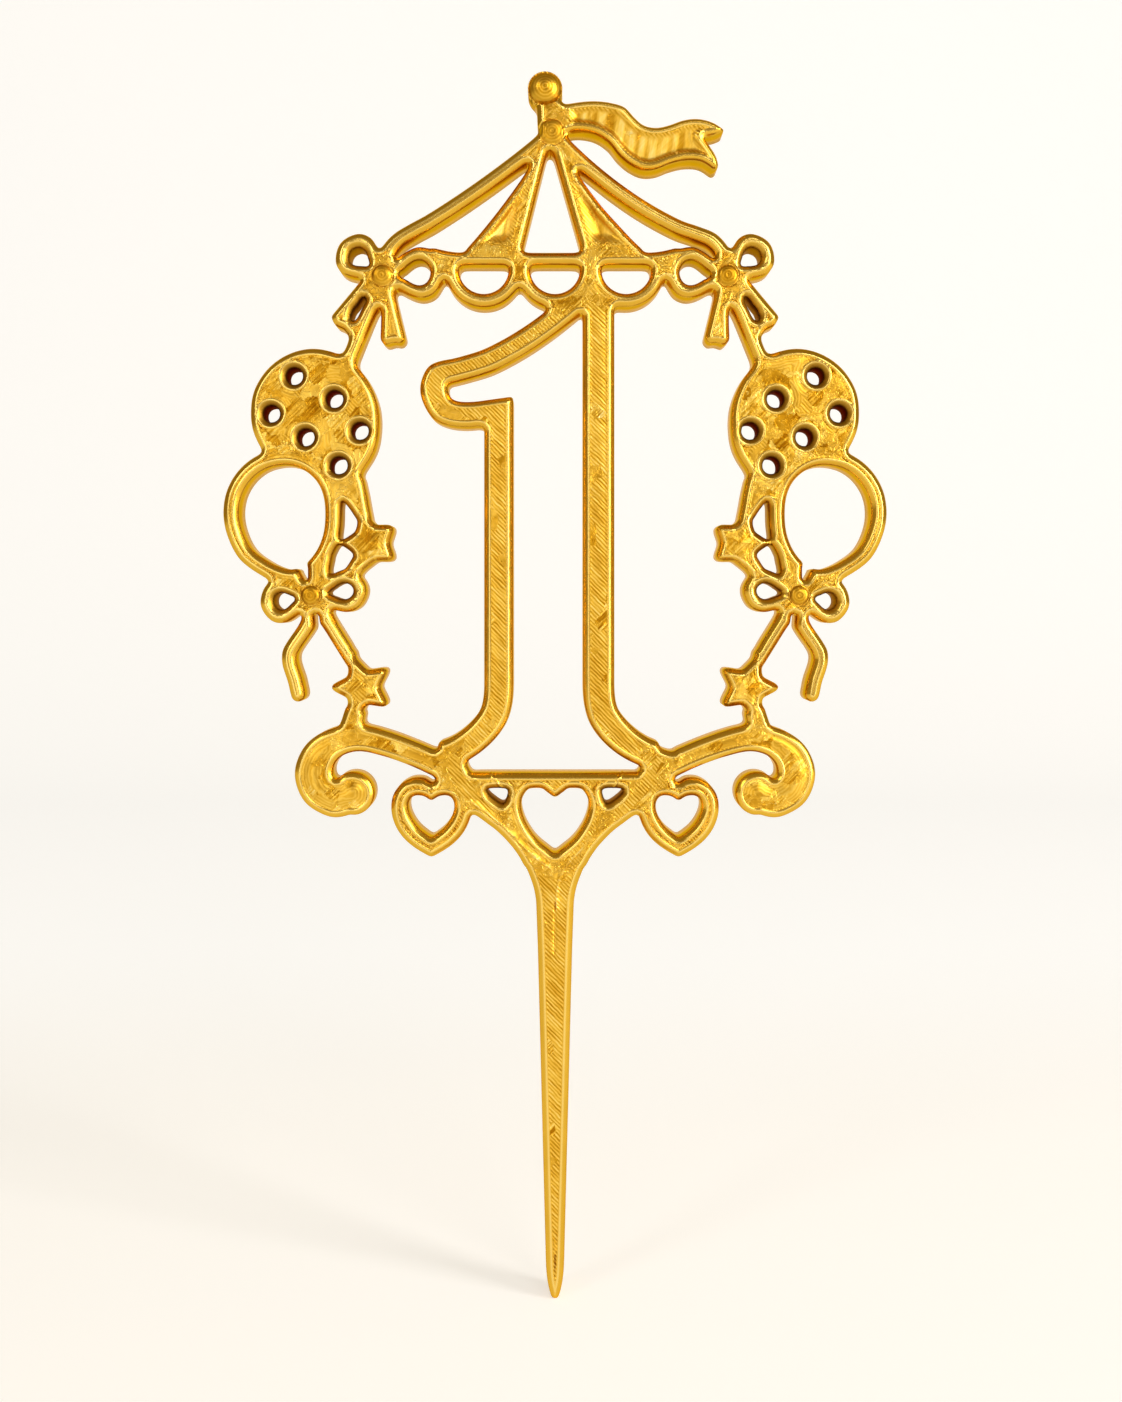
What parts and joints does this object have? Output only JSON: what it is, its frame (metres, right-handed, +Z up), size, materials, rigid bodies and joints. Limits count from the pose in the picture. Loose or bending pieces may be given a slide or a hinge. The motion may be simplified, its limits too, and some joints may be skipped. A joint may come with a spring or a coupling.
{
  "type": "number cupcake topper",
  "caption": "Open-outline figure one in a wreath of balloons, bows and stars, under a small tent roof with a pennant, on a long tapering pick.",
  "frame": {"origin": "on the pick's centre line at the height of the cake's top, halfway through the plate's thickness", "axes": "+Z up along the pick, away from its point; +Y towards the flat back, so that the decorated face looks along -Y; +X to the right seen from the front"},
  "size_m": [0.0554, 0.0034, 0.1026],
  "materials": {
    "gold_plastic": "silk gold printed plastic with fine print lines and a raised bead round each edge"
  },
  "bodies": {
    "root": {"pick": "gold_plastic", "base_bar": "gold_plastic", "centre_heart": "gold_plastic", "number_one": "gold_plastic", "eave_bar": "gold_plastic", "middle_scallop": "gold_plastic", "apex_boss": "gold_plastic", "mast": "gold_plastic", "finial_ball": "gold_plastic", "pennant_flag": "gold_plastic", "left_cradle_arm": "gold_plastic", "right_cradle_arm": "gold_plastic", "left_heart_pendant": "gold_plastic", "right_heart_pendant": "gold_plastic", "left_scroll": "gold_plastic", "right_scroll": "gold_plastic", "left_scroll_stem": "gold_plastic", "right_scroll_stem": "gold_plastic", "left_lower_star": "gold_plastic", "right_lower_star": "gold_plastic", "left_lower_rod": "gold_plastic", "right_lower_rod": "gold_plastic", "left_lower_bow_knot": "gold_plastic", "right_lower_bow_knot": "gold_plastic", "left_lower_bow_outer_loop": "gold_plastic", "right_lower_bow_outer_loop": "gold_plastic", "left_lower_bow_inner_loop": "gold_plastic", "right_lower_bow_inner_loop": "gold_plastic", "left_lower_ribbon": "gold_plastic", "right_lower_ribbon": "gold_plastic", "left_ring_balloon": "gold_plastic", "right_ring_balloon": "gold_plastic", "left_dotted_balloon": "gold_plastic", "right_dotted_balloon": "gold_plastic", "left_balloon_string": "gold_plastic", "right_balloon_string": "gold_plastic", "left_lower_string": "gold_plastic", "right_lower_string": "gold_plastic", "left_side_star": "gold_plastic", "right_side_star": "gold_plastic", "left_upper_rod": "gold_plastic", "right_upper_rod": "gold_plastic", "left_upper_bow_knot": "gold_plastic", "right_upper_bow_knot": "gold_plastic", "left_upper_bow_outer_loop": "gold_plastic", "right_upper_bow_outer_loop": "gold_plastic", "left_upper_bow_inner_loop": "gold_plastic", "right_upper_bow_inner_loop": "gold_plastic", "left_upper_bow_outer_tail": "gold_plastic", "right_upper_bow_outer_tail": "gold_plastic", "left_upper_bow_inner_tail": "gold_plastic", "right_upper_bow_inner_tail": "gold_plastic", "left_roof_rib": "gold_plastic", "right_roof_rib": "gold_plastic", "left_roof_panel": "gold_plastic", "right_roof_panel": "gold_plastic", "left_scallop": "gold_plastic", "right_scallop": "gold_plastic"}
  },
  "joints": []
}
